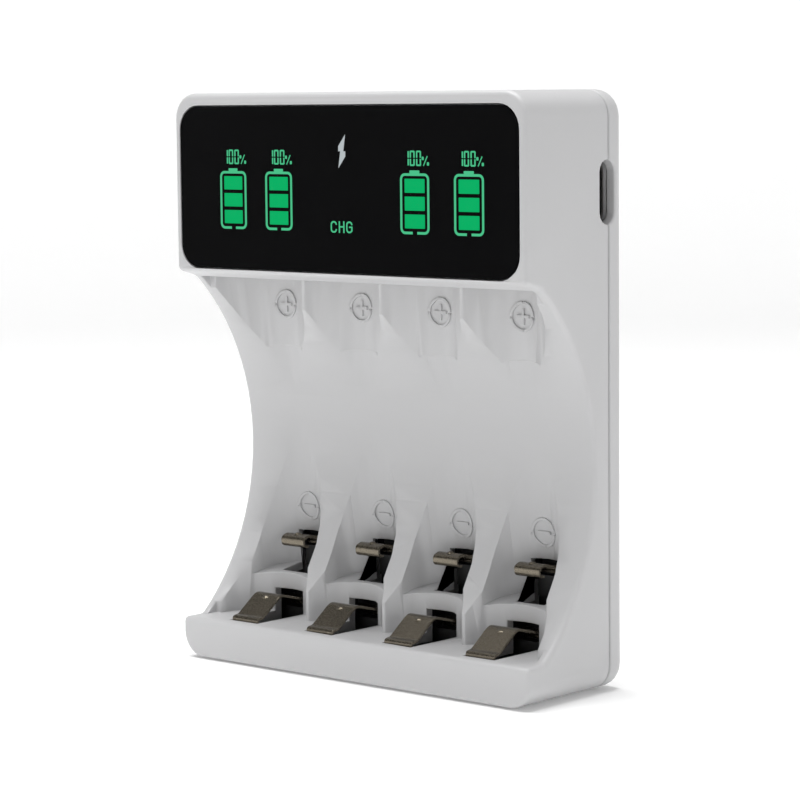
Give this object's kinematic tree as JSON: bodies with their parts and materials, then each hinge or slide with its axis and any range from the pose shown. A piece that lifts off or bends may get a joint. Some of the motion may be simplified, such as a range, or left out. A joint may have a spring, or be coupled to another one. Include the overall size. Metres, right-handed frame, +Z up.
{
  "type": "battery charger",
  "caption": "Upright charger for round AA and AAA cells, with sprung contacts in troughs under a glossy display and an inlet in its side.",
  "frame": {"origin": "centre of the foot, under the middle of the case", "axes": "+Z up, the display faces -Y, +X towards the side with the charging inlet"},
  "size_m": [0.0704, 0.0232, 0.089],
  "materials": {
    "white_abs": "satin moulded",
    "black_acrylic": "polished",
    "lcd_glass": "polished",
    "white_reflector": "matte moulded",
    "led_resin": "clear",
    "green_laminate": "solder mask",
    "chip_epoxy": "matte",
    "ferrite": "sintered",
    "aluminium_can": "satin",
    "nickel_steel": "nickel plated",
    "black_nylon": "matte moulded",
    "black_insulation": "matte"
  },
  "bodies": {
    "charger": {"front_housing": "white_abs", "rear_cover": "white_abs", "display_lens": "black_acrylic", "lcd_panel": "lcd_glass", "light_box": "white_reflector", "backlight_led_1": "led_resin", "backlight_led_2": "led_resin", "backlight_led_3": "led_resin", "backlight_led_4": "led_resin", "main_board": "green_laminate", "charge_controller": "chip_epoxy", "power_inductor": "ferrite", "output_capacitor": "aluminium_can", "usb_shell": "nickel_steel", "usb_tongue": "black_nylon", "contact_carrier": "black_nylon", "positive_contact_1": "nickel_steel", "positive_contact_2": "nickel_steel", "positive_contact_3": "nickel_steel", "positive_contact_4": "nickel_steel", "cover_screw_1": "nickel_steel", "cover_screw_2": "nickel_steel", "cover_screw_3": "nickel_steel", "cover_screw_4": "nickel_steel", "negative_bus": "nickel_steel", "negative_lead": "black_insulation"},
    "aa_spring_1": {"aa_negative_contact_1": "nickel_steel"},
    "aa_spring_2": {"aa_negative_contact_2": "nickel_steel"},
    "aa_spring_3": {"aa_negative_contact_3": "nickel_steel"},
    "aa_spring_4": {"aa_negative_contact_4": "nickel_steel"},
    "aaa_spring_1": {"aaa_negative_contact_1": "nickel_steel"},
    "aaa_spring_2": {"aaa_negative_contact_2": "nickel_steel"},
    "aaa_spring_3": {"aaa_negative_contact_3": "nickel_steel"},
    "aaa_spring_4": {"aaa_negative_contact_4": "nickel_steel"}
  },
  "joints": [
    {"name": "aa_contact_press_1", "type": "hinge", "parent": "charger", "child": "aa_spring_1", "pos_m": [-0.024, 0.0046, 0.0079], "axis": [1, 0, 0], "range_deg": [0, 12], "stiffness_Nm_per_rad": 0.05},
    {"name": "aa_contact_press_2", "type": "hinge", "parent": "charger", "child": "aa_spring_2", "pos_m": [-0.008, 0.0046, 0.0079], "axis": [1, 0, 0], "range_deg": [0, 12], "stiffness_Nm_per_rad": 0.05},
    {"name": "aa_contact_press_3", "type": "hinge", "parent": "charger", "child": "aa_spring_3", "pos_m": [0.008, 0.0046, 0.0079], "axis": [1, 0, 0], "range_deg": [0, 12], "stiffness_Nm_per_rad": 0.05},
    {"name": "aa_contact_press_4", "type": "hinge", "parent": "charger", "child": "aa_spring_4", "pos_m": [0.024, 0.0046, 0.0079], "axis": [1, 0, 0], "range_deg": [0, 12], "stiffness_Nm_per_rad": 0.05},
    {"name": "aaa_contact_press_1", "type": "hinge", "parent": "charger", "child": "aaa_spring_1", "pos_m": [-0.024, 0.0083, 0.0172], "axis": [1, 0, 0], "range_deg": [0, 32], "stiffness_Nm_per_rad": 0.02},
    {"name": "aaa_contact_press_2", "type": "hinge", "parent": "charger", "child": "aaa_spring_2", "pos_m": [-0.008, 0.0083, 0.0172], "axis": [1, 0, 0], "range_deg": [0, 32], "stiffness_Nm_per_rad": 0.02},
    {"name": "aaa_contact_press_3", "type": "hinge", "parent": "charger", "child": "aaa_spring_3", "pos_m": [0.008, 0.0083, 0.0172], "axis": [1, 0, 0], "range_deg": [0, 32], "stiffness_Nm_per_rad": 0.02},
    {"name": "aaa_contact_press_4", "type": "hinge", "parent": "charger", "child": "aaa_spring_4", "pos_m": [0.024, 0.0083, 0.0172], "axis": [1, 0, 0], "range_deg": [0, 32], "stiffness_Nm_per_rad": 0.02}
  ]
}
